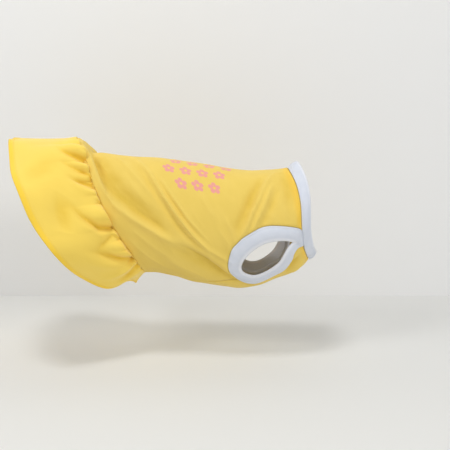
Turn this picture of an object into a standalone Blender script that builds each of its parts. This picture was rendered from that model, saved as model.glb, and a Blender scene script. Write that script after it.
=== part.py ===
"""Dog dress: a sleeveless jersey bodice with rib bindings and a gathered skirt, kept in its worn form.

The bodice is a tube lofted through sections that lean forward from the skirt seam to the neck. A place on it is
given by two shares: along, 0 at the skirt seam and 1 at the neck binding, and around, 0 on the spine and 1 or -1
on the middle of the belly, positive on the left side. The origin is on the inside of the cloth, on the spine
above the armholes, with +X towards the neck, +Y to the left side and +Z up.
"""
import math

import bpy
import numpy as np
from mathutils import Vector
from mathutils.geometry import delaunay_2d_cdt

# Driving sizes in metres
BACK_LENGTH = 0.262
SEAT_FROM_SEAM = 0.209
CHEST_DEPTH = 0.146
CHEST_WIDTH = 0.110
PANEL_WALL = 0.0016
NECK_BINDING_WIDTH = 0.015
ARMHOLE_BINDING_WIDTH = 0.0165
BINDING_WALL = 0.0024
ARMHOLE_LENGTH = 0.114
ARMHOLE_HEIGHT = 0.078
ARMHOLE_BELOW_SPINE = 0.0943
BELLY_PANEL_REAR_WIDTH = 0.027
SKIRT_LENGTH = 0.084
SKIRT_WALL = 0.0014
SKIRT_PUFF = 0.007
GATHER_DEPTH = 0.0035
GATHERS = 22
GATHER_REACH = 0.16
HEM_WAVE_DEPTH = 0.004
HEM_WAVES = 7
FOLD_HEIGHT = 0.0055
FOLD_SPREAD = 0.009
SEAM_HOLD = 0.008
CREASE_DEPTH = 0.006
CREASE_SPREAD = 0.007
GAP = 0.0003

# Fineness of the facets. The spacings are shares of a facet, or of a step on the edge beyond.
PANEL_FACET = 0.0100
BELLY_FACET = 0.0105
POINT_SPACING = 0.6
EDGE_SPACING = 0.55
CORNER_SPACING = 0.3
STEPS_PER_ARMHOLE_ROW = 4
NECK_STEPS = 72
SKIRT_STEPS_AROUND = 132
SKIRT_STEPS_DOWN = 7
SKIRT_CROWDING = 1.25

# Shapes of the cloth. The crown is how much thicker a binding is along its middle; the fades are shares of a half turn
# over which the skirt's fullness dies away at the belly and its puff at the spine; a fold keeps the given share of its
# height at its ends and rises from there by the given power.
BINDING_CROWN = 0.0003
BINDING_ROLL = 0.08
INNER_EDGE_REACH = 4
INNER_EDGE_PASSES = 12
FULLNESS_FADE = 0.25
PUFF_FADE = 0.25
FOLD_END = 0.02
FOLD_END_POWER = 0.6

# Bodice sections. along: share of the back length; rise and drop: height of the spine and depth of the belly, and
# lean: how far the belly lies ahead of the spine, as shares of the chest depth; width: share of the chest width;
# keel: how pointed the section is below; swing: how far its upper sides lie ahead and its lower sides behind, as a
# share of the chest depth.
SECTION_COLUMNS = ("along", "rise", "drop", "lean", "width", "keel", "swing")
SECTIONS = (
    (0.000, 0.270, -0.855, 0.575, 0.910, 0.00, 0.000),
    (0.040, 0.232, -0.855, 0.550, 0.905, 0.00, 0.000),
    (0.075, 0.163, -0.855, 0.545, 0.910, 0.00, 0.000),
    (0.130, 0.152, -0.868, 0.520, 0.920, 0.00, 0.000),
    (0.200, 0.130, -0.893, 0.497, 0.935, 0.00, 0.000),
    (0.300, 0.112, -0.938, 0.455, 0.950, 0.00, 0.000),
    (0.400, 0.107, -0.962, 0.415, 0.965, 0.00, 0.000),
    (0.500, 0.080, -0.979, 0.377, 0.980, 0.00, 0.000),
    (0.600, 0.056, -0.990, 0.337, 1.000, 0.00, 0.000),
    (0.700, 0.027, -0.968, 0.297, 1.000, 0.00, 0.000),
    (0.798, 0.000, -0.912, 0.257, 0.985, 0.05, 0.000),
    (0.900, 0.002, -0.850, 0.239, 0.930, 0.20, 0.013),
    (0.950, 0.010, -0.804, 0.218, 0.885, 0.35, 0.025),
    (1.000, 0.025, -0.743, 0.178, 0.830, 0.55, 0.036),
)

# Slopes of the neck binding beyond the seam: how fast it narrows, and how fast it runs ahead and up on the spine and
# below the chest
BINDING_NARROWS = 0.33
BINDING_AHEAD = (0.86, 0.70)
BINDING_UP = (0.52, 0.60)

# Outline that each armhole binding covers, as shares of the armhole's length from the rear and of its height from
# the top. The side seam ends at the first row; the rows at a length of 1 lie against the neck binding.
# Columns: length, height.
ARMHOLE = (
    (0.078, 0.824),
    (0.000, 0.590),
    (0.098, 0.328),
    (0.215, 0.199),
    (0.348, 0.100),
    (0.604, 0.000),
    (0.842, 0.092),
    (1.000, 0.285),
    (1.000, 0.573),
    (0.901, 0.520),
    (0.832, 0.573),
    (0.777, 0.708),
    (0.640, 0.890),
    (0.307, 1.000),
)

# Skirt hem against the seam above it. around: share of a half turn from the spine; back, out and up: where the hem
# lies from the seam, as shares of the skirt length.
HEM_COLUMNS = ("around", "back", "out", "up")
HEM = (
    (0.000, 0.930, 0.000, 0.000),
    (0.167, 0.910, 0.190, -0.020),
    (0.333, 0.935, 0.380, -0.060),
    (0.500, 0.895, 0.520, -0.083),
    (0.667, 0.840, 0.500, -0.107),
    (0.750, 0.690, 0.310, -0.238),
    (0.833, 0.464, 0.202, -0.286),
    (0.917, 0.262, 0.131, -0.119),
    (1.000, 0.155, 0.000, -0.119),
)

# Folds of the bodice, alike on both sides. Columns: name; spread, a share of the fold spread; height, a share of the
# fold height, below nought for a dent; crest, its places along and around.
FOLDS = (
    ("seam roll", 0.80, 0.70, ((0.028, -0.10), (0.028, 0.10), (0.030, 0.25), (0.050, 0.34))),
    ("behind the roll", 0.75, -0.50, ((0.066, 0.03), (0.066, 0.19), (0.078, 0.30), (0.095, 0.35))),
    ("haunch fold", 1.00, 0.75, ((0.060, 0.34), (0.106, 0.40), (0.153, 0.454), (0.206, 0.50), (0.30, 0.565))),
    ("under the haunch fold", 1.15, -0.75, ((0.226, 0.560), (0.375, 0.610), (0.495, 0.700), (0.575, 0.775))),
    ("back fold", 0.75, 0.50, ((0.279, 0.098), (0.352, 0.286), (0.419, 0.490), (0.485, 0.571), (0.575, 0.632))),
    ("shoulder fold", 0.75, 0.45, ((0.910, 0.128), (0.824, 0.316), (0.768, 0.421), (0.695, 0.505))),
    ("beside the neck", 0.90, -0.35, ((0.955, 0.100), (0.960, 0.346))),
    ("chest fold", 0.90, 0.35, ((0.970, 0.860), (0.880, 0.900))),
)

# Creases of the skirt, alike on both sides. Columns: name; spread, a share of the crease spread; depth, a share of the
# crease depth, below nought for a ridge; line, its places around and down.
CREASES = (
    ("top tuck", 0.80, 1.00, ((0.262, 0.02), (0.243, 0.118), (0.208, 0.218))),
    ("above the tuck", 1.20, -0.60, ((0.190, 0.06), (0.170, 0.260))),
    ("upper fold", 0.90, 0.45, ((0.365, 0.02), (0.323, 0.076), (0.276, 0.202))),
    ("side ridge", 0.90, -0.45, ((0.441, 0.025), (0.361, 0.244))),
    ("side crease", 0.90, 0.60, ((0.574, 0.042), (0.561, 0.269), (0.516, 0.403))),
    ("lower ridge", 0.90, -0.40, ((0.600, 0.05), (0.635, 0.40))),
    ("haunch crease", 1.30, 0.65, ((0.734, 0.076), (0.712, 0.193), (0.639, 0.600))),
    ("belly ridge", 1.00, -0.55, ((0.774, 0.03), (0.800, 0.500))),
)

PATTERN_RADIUS = (CHEST_DEPTH + CHEST_WIDTH) / 4
HALF_TURN = math.pi * PATTERN_RADIUS
ORIGIN_ALONG = SEAT_FROM_SEAM / BACK_LENGTH

YELLOW = (0.86, 0.60, 0.14, 1.0)
DEEP_YELLOW = (0.93, 0.62, 0.12, 1.0)
WHITE = (0.80, 0.81, 0.84, 1.0)


def read_column(table, columns, name, at):
    """A smooth curve through one column of a table, read at the given places of its first column."""
    places = np.array([row[0] for row in table])
    values = np.array([row[columns.index(name)] for row in table])
    slopes = np.gradient(values, places)
    at = np.clip(at, places[0], places[-1])
    row = np.clip(np.searchsorted(places, at, side="right") - 1, 0, len(places) - 2)
    step = places[row + 1] - places[row]
    t = (at - places[row]) / step
    low = values[row] * (1 + 2 * t) * (1 - t) ** 2 + slopes[row] * step * t * (1 - t) ** 2
    high = values[row + 1] * t * t * (3 - 2 * t) - slopes[row + 1] * step * t * t * (1 - t)
    return low + high


def bodice_form(along, around):
    """Points of the plain bodice without folds. Past the neck seam it goes on as the neck binding's slope."""
    inside = np.minimum(along, 1.0)
    past = np.maximum(along - 1.0, 0.0) * BACK_LENGTH
    rise, drop, lean, width, keel, swing = (
        read_column(SECTIONS, SECTION_COLUMNS, name, inside) for name in SECTION_COLUMNS[1:]
    )
    angle = around * math.pi
    low = (1 - np.cos(angle)) / 2
    side = np.sin(angle)
    half_width = width * CHEST_WIDTH / 2 - BINDING_NARROWS * past
    ahead = CHEST_DEPTH * (lean * low + 2 * swing * np.cos(angle) * side ** 2)
    x = (inside - ORIGIN_ALONG) * BACK_LENGTH + ahead + past * (BINDING_AHEAD[0] * (1 - low) + BINDING_AHEAD[1] * low)
    y = half_width * side * np.abs(side) ** (keel * low)
    z = CHEST_DEPTH * (rise * (1 - low) + drop * low) + past * (BINDING_UP[0] * (1 - low) + BINDING_UP[1] * low)
    return np.stack((x, y, z), axis=-1)


def unit(vectors):
    return vectors / np.linalg.norm(vectors, axis=-1, keepdims=True)


def bodice_normal(along, around):
    """Outward directions. At the neck seam itself they are the bodice's, not the binding's."""
    small = 1e-4
    beyond = np.where(along > 1.0, along + small, np.minimum(along + small, 1.0))
    ahead = bodice_form(beyond, around) - bodice_form(along - small, around)
    left = bodice_form(along, around + small) - bodice_form(along, around - small)
    return unit(np.cross(ahead, left))


def ridge_height(places, crest, spread):
    """Height, 0 to 1, of a soft ridge along a crest line that dies away at its ends. All in metres."""
    nearest = np.full(len(places), np.inf)
    travelled = np.zeros(len(places))
    done = 0.0
    for start, end in zip(crest[:-1], crest[1:]):
        run = end - start
        length = np.linalg.norm(run)
        share = np.clip((places - start) @ run / length ** 2, 0.0, 1.0)
        distance = np.linalg.norm(places - start - share[:, None] * run, axis=1)
        closer = distance < nearest
        nearest = np.where(closer, distance, nearest)
        travelled = np.where(closer, done + share * length, travelled)
        done += length
    ends = np.sin(math.pi * np.clip(travelled / done, FOLD_END, 1 - FOLD_END)) ** FOLD_END_POWER
    return np.exp(-((nearest / spread) ** 2)) * ends


def smooth_step(share):
    share = np.clip(share, 0.0, 1.0)
    return share * share * (3 - 2 * share)


def bodice_fold(along, around):
    """Height of the folds, which die away at the skirt seam."""
    size = np.array((BACK_LENGTH, HALF_TURN))
    places = np.stack((along, np.abs((around + 1.0) % 2.0 - 1.0)), axis=-1) * size
    total = np.zeros(len(places))
    for _, spread, height, crest in FOLDS:
        total += height * ridge_height(places, np.array(crest) * size, spread * FOLD_SPREAD)
    return FOLD_HEIGHT * total * smooth_step(places[:, 0] / SEAM_HOLD)


def bodice_point(along, around, height):
    """A point at a height above the inside of the cloth, folds included."""
    lift = bodice_fold(along, around) + height
    return bodice_form(along, around) + bodice_normal(along, around) * lift[..., None]


def skirt_form(around, down):
    """Points of the plain skirt, from the seam at 0 down to the hem at 1."""
    wrapped = (around + 1.0) % 2.0 - 1.0
    turn = np.abs(wrapped)
    seam = bodice_form(np.zeros_like(around), around)
    seam[..., 0] -= 2 * GAP
    back, out, up = (read_column(HEM, HEM_COLUMNS, name, turn) for name in HEM_COLUMNS[1:])
    reach = np.stack((-back, out * np.sign(wrapped), up), axis=-1) * SKIRT_LENGTH
    return seam + reach * down[..., None]


def skirt_normal(around, down):
    """Outward directions, which turn from the bodice's own at the seam to the skirt's."""
    small = 1e-4
    lower = skirt_form(around, down + small) - skirt_form(around, down - small)
    left = skirt_form(around + small, down) - skirt_form(around - small, down)
    turned = smooth_step(down * SKIRT_LENGTH / SEAM_HOLD)[..., None]
    at_seam = bodice_normal(np.zeros_like(around), around)
    return unit(at_seam * (1 - turned) + unit(np.cross(left, lower)) * turned)


def skirt_lift(around, down):
    """How far the gathers, waves, puff and creases push the skirt out of its plain form."""
    size = np.array((HALF_TURN, SKIRT_LENGTH))
    turn = np.abs((around + 1.0) % 2.0 - 1.0)
    places = np.stack((turn, down), axis=-1) * size
    fullness = smooth_step((1 - turn) / FULLNESS_FADE)
    near_seam = down / GATHER_REACH * np.exp(1 - down / GATHER_REACH)
    gathers = GATHER_DEPTH * near_seam * np.cos(GATHERS * math.pi * turn)
    waves = HEM_WAVE_DEPTH * down ** 2 * np.sin(HEM_WAVES * math.pi * turn)
    puff = SKIRT_PUFF * np.sin(math.pi * np.clip(down, 0.0, 1.0)) * smooth_step(turn / PUFF_FADE)
    creases = np.zeros(len(places))
    for _, spread, depth, line in CREASES:
        creases += depth * ridge_height(places, np.array(line) * size, spread * CREASE_SPREAD)
    held = smooth_step(down * SKIRT_LENGTH / SEAM_HOLD)
    return fullness * (gathers + waves + puff - held * CREASE_DEPTH * creases)


def skirt_point(around, down, height):
    lift = skirt_lift(around, down) + height
    return skirt_form(around, down) + skirt_normal(around, down) * lift[..., None]


def closed_curve(points, steps):
    """A smooth closed curve through the points, with the given steps between one point and the next."""
    points = np.array(points)
    tangents = (np.roll(points, -1, axis=0) - np.roll(points, 1, axis=0)) / 2
    curve = []
    for i, start in enumerate(points):
        j = (i + 1) % len(points)
        for t in np.arange(steps) / steps:
            low = start * (1 + 2 * t) * (1 - t) ** 2 + tangents[i] * t * (1 - t) ** 2
            high = points[j] * t * t * (3 - 2 * t) - tangents[j] * t * t * (1 - t)
            curve.append(low + high)
    return np.array(curve)


def armhole_outline():
    """The left armhole's outline on the pattern, as metres along and around."""
    rear = BACK_LENGTH - ARMHOLE_LENGTH
    rows = [(rear + row[0] * ARMHOLE_LENGTH, ARMHOLE_BELOW_SPINE + row[1] * ARMHOLE_HEIGHT) for row in ARMHOLE]
    outline = closed_curve(rows, STEPS_PER_ARMHOLE_ROW)
    outline[:, 0] = np.minimum(outline[:, 0], BACK_LENGTH - GAP)
    return outline


def inward(outline, smoothing):
    """Directions into a closed outline, averaged over some neighbours on each side."""
    ahead = np.roll(outline, -1, axis=0) - np.roll(outline, 1, axis=0)
    normals = np.stack((-ahead[:, 1], ahead[:, 0]), axis=-1)
    area = np.sum(outline[:, 0] * np.roll(outline[:, 1], -1) - np.roll(outline[:, 0], -1) * outline[:, 1])
    normals *= np.sign(area)
    total = sum(np.roll(unit(normals), shift, axis=0) for shift in range(-smoothing, smoothing + 1))
    return unit(total)


def relaxed(outline, passes):
    """A closed outline with its corners eased by averaging neighbours."""
    for _ in range(passes):
        outline = (np.roll(outline, 1, axis=0) + 2 * outline + np.roll(outline, -1, axis=0)) / 4
    return outline


def crest_points(facet):
    """Points along the crests and dents of the folds, on both sides, so that facets follow them."""
    size = np.array((BACK_LENGTH, HALF_TURN))
    points = []
    for _, _, _, crest in FOLDS:
        line = np.array(crest) * size
        for start, end in zip(line[:-1], line[1:]):
            steps = math.ceil(np.linalg.norm(end - start) / facet)
            points += [start + (end - start) * i / steps for i in range(steps)]
        points.append(line[-1])
    mirrored = [place * (1, -1) for place in points]
    return points + mirrored + [place + (0, 2 * HALF_TURN) for place in mirrored]


def inside_points(outline, facet):
    """Points along the folds, and rows of points between them, inside the outline and clear of its edge."""
    lowest = outline.min(axis=0)
    highest = outline.max(axis=0)
    row_height = facet * math.sqrt(3) / 2
    places = crest_points(facet)
    for row, second in enumerate(np.arange(lowest[1] + row_height / 2, highest[1], row_height)):
        firsts = np.arange(lowest[0] + facet / 4 + (row % 2) * facet / 2, highest[0], facet)
        places += [np.array((first, second)) for first in firsts]
    starts = outline
    runs = np.roll(outline, -1, axis=0) - outline
    kept = []
    for place in places:
        offset = place - starts
        share = np.clip(np.sum(offset * runs, axis=1) / np.sum(runs * runs, axis=1), 0.0, 1.0)
        distance = np.linalg.norm(offset - share[:, None] * runs, axis=1).min()
        crosses = (starts[:, 1] > place[1]) != (starts[:, 1] + runs[:, 1] > place[1])
        with np.errstate(divide="ignore", invalid="ignore"):
            reach = starts[:, 0] + (place[1] - starts[:, 1]) / runs[:, 1] * runs[:, 0]
        inside = np.sum(crosses & (reach > place[0])) % 2 == 1
        clear = all(np.linalg.norm(place - other) > POINT_SPACING * facet for other in kept)
        if inside and clear and distance > EDGE_SPACING * facet:
            kept.append(place)
    return kept


def make_object(name, points, faces, colour):
    """A closed body from its points and faces, with its own material."""
    mesh = bpy.data.meshes.new(name)
    mesh.from_pydata([tuple(p) for p in points], [], [tuple(f) for f in faces])
    mesh.validate()
    body = bpy.data.objects.new(name, mesh)
    bpy.context.scene.collection.objects.link(body)
    material = bpy.data.materials.new(name)
    material.use_nodes = True
    shader = material.node_tree.nodes["Principled BSDF"]
    shader.inputs["Base Color"].default_value = colour
    shader.inputs["Roughness"].default_value = 0.85
    mesh.materials.append(material)
    mesh.shade_smooth()
    return body


def make_panel(name, outline, facet):
    """A cloth panel cut to an outline on the pattern and wrapped round the bodice form."""
    points = [Vector(p) for p in outline] + [Vector(p) for p in inside_points(outline, facet)]
    edge = list(range(len(outline)))
    flat, _, faces, _, _, _ = delaunay_2d_cdt(points, [], [edge], 1, 1e-7)
    flat = np.array([tuple(p) for p in flat])
    along = flat[:, 0] / BACK_LENGTH
    around = flat[:, 1] / HALF_TURN
    inner = bodice_point(along, around, np.zeros(len(flat)))
    outer = bodice_point(along, around, np.full(len(flat), PANEL_WALL))
    count = len(flat)
    used = {(f[i], f[(i + 1) % 3]) for f in faces for i in range(3)}
    border = [(a, b) for a, b in used if (b, a) not in used]
    solid = [tuple(f) for f in faces]
    solid += [tuple(i + count for i in reversed(f)) for f in faces]
    solid += [(b, a, a + count, b + count) for a, b in sorted(border)]
    make_object(name, np.concatenate((outer, inner)), solid, YELLOW)


def band_profile():
    """Section of a binding: share across its width, and height above the inside of the cloth."""
    low = (PANEL_WALL - BINDING_WALL) / 2
    high = low + BINDING_WALL
    middle = PANEL_WALL / 2
    roll = 1.0 - BINDING_ROLL
    crown = high + BINDING_CROWN
    return ((0.0, low), (0.0, high), (0.5, crown), (roll, high), (1.0, middle), (roll, low), (0.5, low))


def ring_faces(columns, rows):
    """Faces of a closed ring of closed sections."""
    faces = []
    for column in range(columns):
        beyond = (column + 1) % columns
        for row in range(rows):
            up = (row + 1) % rows
            faces.append((column * rows + row, column * rows + up, beyond * rows + up, beyond * rows + row))
    return faces


def make_neck_binding():
    around = np.linspace(-1.0, 1.0, NECK_STEPS, endpoint=False)
    rows = []
    for across, height in band_profile():
        along = np.full(NECK_STEPS, 1.0 + across * NECK_BINDING_WIDTH / BACK_LENGTH)
        rows.append(bodice_point(along, around, np.full(NECK_STEPS, height)))
    points = np.stack(rows, axis=1).reshape(-1, 3)
    faces = ring_faces(NECK_STEPS, len(rows))
    make_object("neck_binding", points, faces, WHITE)


def make_armhole_binding(name, side):
    outline = armhole_outline()
    inner = relaxed(outline + inward(outline, INNER_EDGE_REACH) * ARMHOLE_BINDING_WIDTH, INNER_EDGE_PASSES)
    rows = []
    for across, height in band_profile():
        flat = outline * (1 - across) + inner * across
        count = np.full(len(flat), height)
        rows.append(bodice_point(flat[:, 0] / BACK_LENGTH, side * flat[:, 1] / HALF_TURN, count))
    points = np.stack(rows, axis=1).reshape(-1, 3)
    faces = ring_faces(len(outline), len(rows))
    if side > 0:
        faces = [tuple(reversed(f)) for f in faces]
    make_object(name, points, faces, WHITE)


def side_seam():
    """The seam between back and belly panels, from the skirt seam to the armhole, in metres on the pattern."""
    corner = armhole_outline()[0]
    start = np.array((0.0, HALF_TURN - BELLY_PANEL_REAR_WIDTH / 2))
    share = np.linspace(0.0, 1.0, math.ceil(corner[0] / PANEL_FACET) + 1)[:, None]
    return start * (1 - share) + corner * share


def edge_points(start, end, pitch):
    """Points between two corners of an edge across the pattern, at the places where the piece beyond it has its own."""
    low, high = sorted((start[1], end[1]))
    first = math.ceil(low / pitch + CORNER_SPACING)
    last = math.floor(high / pitch - CORNER_SPACING)
    arounds = np.arange(first, last + 1) * pitch
    if start[1] > end[1]:
        arounds = arounds[::-1]
    return np.stack((np.full(len(arounds), start[0]), arounds), axis=-1)


def make_panels():
    outline = armhole_outline()
    clear = outline - inward(outline, 0) * GAP
    neck_rows = [i for i, (length, _) in enumerate(ARMHOLE) if length == 1.0]
    upper = clear[: neck_rows[0] * STEPS_PER_ARMHOLE_ROW + 1]
    lower = clear[neck_rows[1] * STEPS_PER_ARMHOLE_ROW :]
    edge = BACK_LENGTH - GAP
    upper[:, 0] = np.minimum(upper[:, 0], edge)
    lower[:, 0] = np.minimum(lower[:, 0], edge)
    seam = side_seam()[:-1]
    corner = clear[:1]
    half = np.array((0.0, GAP / 2))
    neck_pitch = 2 * HALF_TURN / NECK_STEPS
    rear_pitch = 4 * HALF_TURN / SKIRT_STEPS_AROUND

    left = np.concatenate((seam - half, corner - half, upper[1:]))
    right = left[::-1] * (1, -1)
    neck = edge_points(left[-1], right[0], neck_pitch)
    rear = edge_points(right[-1], left[0], rear_pitch)
    make_panel("back_panel", np.concatenate((left, neck, right, rear)), PANEL_FACET)

    left = np.concatenate((lower, corner + half, (seam + half)[::-1]))
    right = left[::-1] * (1, -1) + (0, 2 * HALF_TURN)
    rear = edge_points(left[-1], right[0], rear_pitch)
    neck = edge_points(right[-1], left[0], neck_pitch)
    make_panel("belly_panel", np.concatenate((left, rear, right, neck)), BELLY_FACET)


def make_skirt():
    around = np.linspace(-1.0, 1.0, SKIRT_STEPS_AROUND, endpoint=False)
    downs = np.linspace(0.0, 1.0, SKIRT_STEPS_DOWN + 1) ** SKIRT_CROWDING
    rows = [skirt_point(around, np.full_like(around, down), np.full_like(around, SKIRT_WALL)) for down in downs]
    rows += [skirt_point(around, np.full_like(around, down), np.zeros_like(around)) for down in downs[::-1]]
    points = np.stack(rows, axis=1).reshape(-1, 3)
    faces = [tuple(reversed(f)) for f in ring_faces(SKIRT_STEPS_AROUND, len(rows))]
    make_object("skirt", points, faces, DEEP_YELLOW)


def main():
    for old in list(bpy.data.objects):
        bpy.data.objects.remove(old)
    make_panels()
    make_neck_binding()
    make_armhole_binding("left_armhole_binding", 1)
    make_armhole_binding("right_armhole_binding", -1)
    make_skirt()


main()
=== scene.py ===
"""Looks of the dog dress: jersey and rib in fine cloth, with its folds, gathers, seams, stitches and print.

The bodice is a tube. A place on it is given by two shares: along, 0 at the skirt seam and 1 at the neck binding, and
around, 0 on the spine and 1 or -1 on the middle of the belly. The skirt goes on from the seam, with down 0 at the
seam and 1 at the hem. Lengths are in metres.
"""
import math
import random

import bpy
import numpy as np
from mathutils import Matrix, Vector
from mathutils.geometry import delaunay_2d_cdt


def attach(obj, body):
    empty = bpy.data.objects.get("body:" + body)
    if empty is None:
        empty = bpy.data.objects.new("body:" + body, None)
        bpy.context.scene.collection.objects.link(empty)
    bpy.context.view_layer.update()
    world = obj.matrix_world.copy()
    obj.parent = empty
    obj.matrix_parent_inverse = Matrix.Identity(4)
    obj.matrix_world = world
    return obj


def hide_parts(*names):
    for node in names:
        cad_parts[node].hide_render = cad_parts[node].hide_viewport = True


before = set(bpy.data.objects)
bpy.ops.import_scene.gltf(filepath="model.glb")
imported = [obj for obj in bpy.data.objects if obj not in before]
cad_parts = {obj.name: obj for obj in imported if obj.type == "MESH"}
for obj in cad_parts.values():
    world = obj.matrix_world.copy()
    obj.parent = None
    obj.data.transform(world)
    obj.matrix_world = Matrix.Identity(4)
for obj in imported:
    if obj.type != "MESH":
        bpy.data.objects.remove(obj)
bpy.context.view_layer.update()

# Sizes of the model
BACK_LENGTH = 0.262
SEAT_FROM_SEAM = 0.209
CHEST_DEPTH = 0.146
CHEST_WIDTH = 0.110
PANEL_WALL = 0.0016
NECK_BINDING_WIDTH = 0.015
ARMHOLE_BINDING_WIDTH = 0.0165
BINDING_WALL = 0.0024
ARMHOLE_LENGTH = 0.114
ARMHOLE_HEIGHT = 0.078
ARMHOLE_BELOW_SPINE = 0.0943
BELLY_PANEL_REAR_WIDTH = 0.027
SKIRT_LENGTH = 0.084
SKIRT_WALL = 0.0014
SKIRT_PUFF = 0.007
HEM_WAVE_DEPTH = 0.004
HEM_WAVES = 7
SEAM_HOLD = 0.008
PUCKER_HOLD = 0.0022
OVERHANG = 0.0042
OVERHANG_REACH = 0.038
LOBE_HEIGHT = 0.19
LOBE_REACH = 0.42
LEFT_LOBE_WIDTH = 0.0120
TOP_LOBE_WIDTH = 0.0070
CROWN_PUFF = 0.0006
FLAP_DROP = 0.0085
SEAM_EDGE = 0.00012
LEFT_SHIFT = 0.25
GAP = 0.0003

# Sizes of the sewing
# Width of the painted fold shade on the bodice beside the neck binding
NECK_SHADE_WIDTH = 0.0110
HEM_FOLD = 0.0065
HEM_FOLD_RISE = 0.0005
SEAM_DITCH = 0.0015
SEAM_DITCH_SHARE = 0.45
STITCH_LENGTH = 0.0024
STITCH_PITCH = 0.0032
STITCH_RADIUS = 0.00022
BINDING_STITCH_PLACE = 0.14
STITCH_GROOVE = 0.00045
BINDING_CROWN = 0.0009
RIM_PLACE = 0.76
RIM_GROOVE = 0.00035
CHEST_OVERLAP = 0.0014

# Fineness of the meshes
FACET = 0.0021
OUTLINE_STEPS = 16
NECK_STEPS = 432
BINDING_ROWS = 13
SKIRT_STEPS_AROUND = 700
SKIRT_STEPS_DOWN = 56

# Bodice sections. along: share of the back length; rise and drop: height of the spine and depth of the belly, and
# lean: how far the belly lies ahead of the spine, as shares of the chest depth; width: share of the chest width;
# keel: how pointed the section is below; swing: how far its upper sides lie ahead and its lower sides behind, as a
# share of the chest depth.
SECTION_COLUMNS = ("along", "rise", "drop", "lean", "width", "keel", "swing")
SECTIONS = (
    (0.000, 0.270, -0.855, 0.575, 0.910, 0.00, 0.000),
    (0.040, 0.232, -0.855, 0.550, 0.905, 0.00, 0.000),
    (0.075, 0.163, -0.855, 0.545, 0.910, 0.00, 0.000),
    (0.130, 0.152, -0.868, 0.520, 0.920, 0.00, 0.000),
    (0.200, 0.130, -0.893, 0.497, 0.935, 0.00, 0.000),
    (0.300, 0.112, -0.938, 0.455, 0.950, 0.00, 0.000),
    (0.400, 0.107, -0.962, 0.415, 0.965, 0.00, 0.000),
    (0.500, 0.080, -0.979, 0.377, 0.980, 0.00, 0.000),
    (0.600, 0.056, -0.990, 0.337, 1.000, 0.00, 0.000),
    (0.700, 0.027, -0.968, 0.297, 1.000, 0.00, 0.000),
    (0.798, 0.000, -0.912, 0.257, 0.985, 0.05, 0.000),
    (0.900, 0.002, -0.850, 0.239, 0.930, 0.20, 0.013),
    (0.950, 0.010, -0.804, 0.218, 0.885, 0.35, 0.025),
    (1.000, 0.025, -0.743, 0.178, 0.830, 0.55, 0.036),
)

# Slopes of the neck binding beyond the seam: how fast it narrows, and how fast it runs ahead and up on the spine and
# below the chest
BINDING_NARROWS = 0.33
BINDING_AHEAD = (0.86, 0.70)
BINDING_UP = (0.52, 0.60)

# Outline that each armhole binding covers. Columns: length, height.
ARMHOLE = (
    (0.078, 0.824),
    (0.000, 0.590),
    (0.098, 0.328),
    (0.215, 0.199),
    (0.348, 0.100),
    (0.604, 0.000),
    (0.842, 0.092),
    (1.000, 0.285),
    (1.000, 0.573),
    (0.901, 0.520),
    (0.832, 0.573),
    (0.777, 0.708),
    (0.640, 0.890),
    (0.307, 1.000),
)

# Skirt hem against the seam above it, as shares of the skirt length
HEM_COLUMNS = ("around", "back", "out", "up")
HEM = (
    (0.000, 0.930, 0.000, -0.028),
    (0.167, 0.910, 0.190, -0.040),
    (0.333, 0.935, 0.380, -0.060),
    (0.500, 0.895, 0.520, -0.083),
    (0.667, 0.840, 0.500, -0.107),
    (0.750, 0.690, 0.310, -0.238),
    (0.833, 0.464, 0.202, -0.286),
    (0.917, 0.262, 0.131, -0.119),
    (1.000, 0.155, 0.000, -0.119),
)

# How far ahead of its plain place the skirt seam runs. Columns: around; mm ahead.
SEAM_SHIFTS = (
    (0.00, 0.5),
    (0.10, 4.6),
    (0.19, 8.0),
    (0.26, 6.8),
    (0.31, 5.2),
    (0.40, 2.2),
    (0.48, 0.4),
    (0.56, -0.3),
    (0.66, 1.0),
    (0.76, 1.6),
    (0.88, 0.4),
    (1.00, 0.0),
)

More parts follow.
